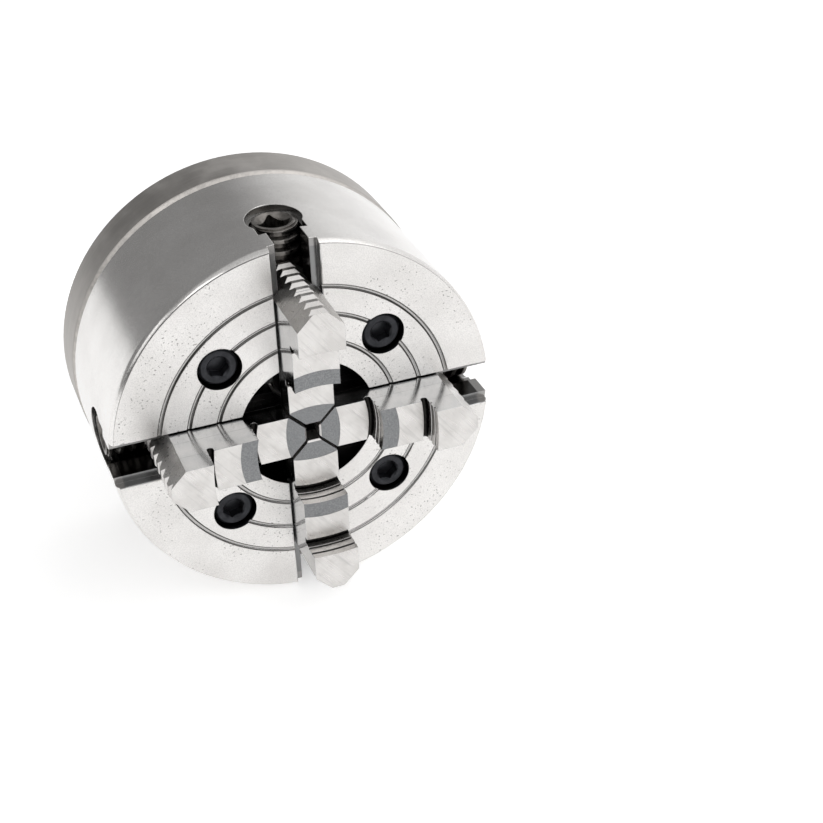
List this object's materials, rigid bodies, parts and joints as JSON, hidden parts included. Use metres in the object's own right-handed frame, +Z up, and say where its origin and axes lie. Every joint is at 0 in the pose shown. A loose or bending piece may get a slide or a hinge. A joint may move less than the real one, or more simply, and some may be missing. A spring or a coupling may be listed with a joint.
{
  "type": "lathe chuck",
  "caption": "Independent-jaw lathe chuck: stepped jaws slide in the slots of a round body, each driven by a square-socket screw, on a round back plate.",
  "frame": {"origin": "centre of the back plate's rear mounting face", "axes": "+Y along the chuck's axis towards the lathe spindle, the jaws pointing to -Y; +Z up through jaw 1; +X to the right seen from the jaws"},
  "size_m": [0.161, 0.1187, 0.161],
  "materials": {
    "ground_iron": "fine ground face and rim, with small dark pores",
    "turned_iron": "dull turned surface",
    "ground_steel": "bright ground hardened steel with diagonal grinding lines",
    "oiled_steel": "dark oiled steel",
    "plain_steel": "turned steel",
    "black_oxide": "satin black oxide"
  },
  "bodies": {
    "chuck": {"chuck_body": "ground_iron", "back_plate": "turned_iron", "thrust_bearing_1": "plain_steel", "thrust_bearing_2": "plain_steel", "thrust_bearing_3": "plain_steel", "thrust_bearing_4": "plain_steel", "bearing_lock_screw_1": "black_oxide", "bearing_lock_screw_2": "black_oxide", "bearing_lock_screw_3": "black_oxide", "bearing_lock_screw_4": "black_oxide", "mounting_bolt_1": "black_oxide", "mounting_bolt_2": "black_oxide", "mounting_bolt_3": "black_oxide", "mounting_bolt_4": "black_oxide"},
    "sliding_jaw_1": {"jaw_1": "ground_steel"},
    "turning_screw_1": {"jaw_screw_1": "oiled_steel"},
    "sliding_jaw_2": {"jaw_2": "ground_steel"},
    "turning_screw_2": {"jaw_screw_2": "oiled_steel"},
    "sliding_jaw_3": {"jaw_3": "ground_steel"},
    "turning_screw_3": {"jaw_screw_3": "oiled_steel"},
    "sliding_jaw_4": {"jaw_4": "ground_steel"},
    "turning_screw_4": {"jaw_screw_4": "oiled_steel"}
  },
  "joints": [
    {"name": "screw_1_turn", "type": "hinge", "parent": "chuck", "child": "turning_screw_1", "pos_m": [0, -0.065, 0.0786], "axis": [0, 0, 1], "range_deg": [-91, 2071]},
    {"name": "jaw_1_slide", "type": "slide", "parent": "chuck", "child": "sliding_jaw_1", "axis": [0, 0, 1], "range_m": [-0.00125, 0.02875]},
    {"name": "screw_2_turn", "type": "hinge", "parent": "chuck", "child": "turning_screw_2", "pos_m": [-0.0786, -0.065, 0], "axis": [-1, 0, 0], "range_deg": [-31, 2071]},
    {"name": "jaw_2_slide", "type": "slide", "parent": "chuck", "child": "sliding_jaw_2", "axis": [-1, 0, 0], "range_m": [-0.00041, 0.02875]},
    {"name": "screw_3_turn", "type": "hinge", "parent": "chuck", "child": "turning_screw_3", "pos_m": [0, -0.065, -0.0786], "axis": [0, 0, -1], "range_deg": [-91, 2071]},
    {"name": "jaw_3_slide", "type": "slide", "parent": "chuck", "child": "sliding_jaw_3", "axis": [0, 0, -1], "range_m": [-0.00125, 0.02875]},
    {"name": "screw_4_turn", "type": "hinge", "parent": "chuck", "child": "turning_screw_4", "pos_m": [0.0786, -0.065, 0], "axis": [1, 0, 0], "range_deg": [-1, 2071]},
    {"name": "jaw_4_slide", "type": "slide", "parent": "chuck", "child": "sliding_jaw_4", "axis": [1, 0, 0], "range_m": [0, 0.02875]}
  ],
  "couplings": [
    {"joint": "screw_1_turn", "follows": "jaw_1_slide", "rad_per_m": 1256.6},
    {"joint": "screw_2_turn", "follows": "jaw_2_slide", "rad_per_m": 1256.6},
    {"joint": "screw_3_turn", "follows": "jaw_3_slide", "rad_per_m": 1256.6},
    {"joint": "screw_4_turn", "follows": "jaw_4_slide", "rad_per_m": 1256.6}
  ]
}
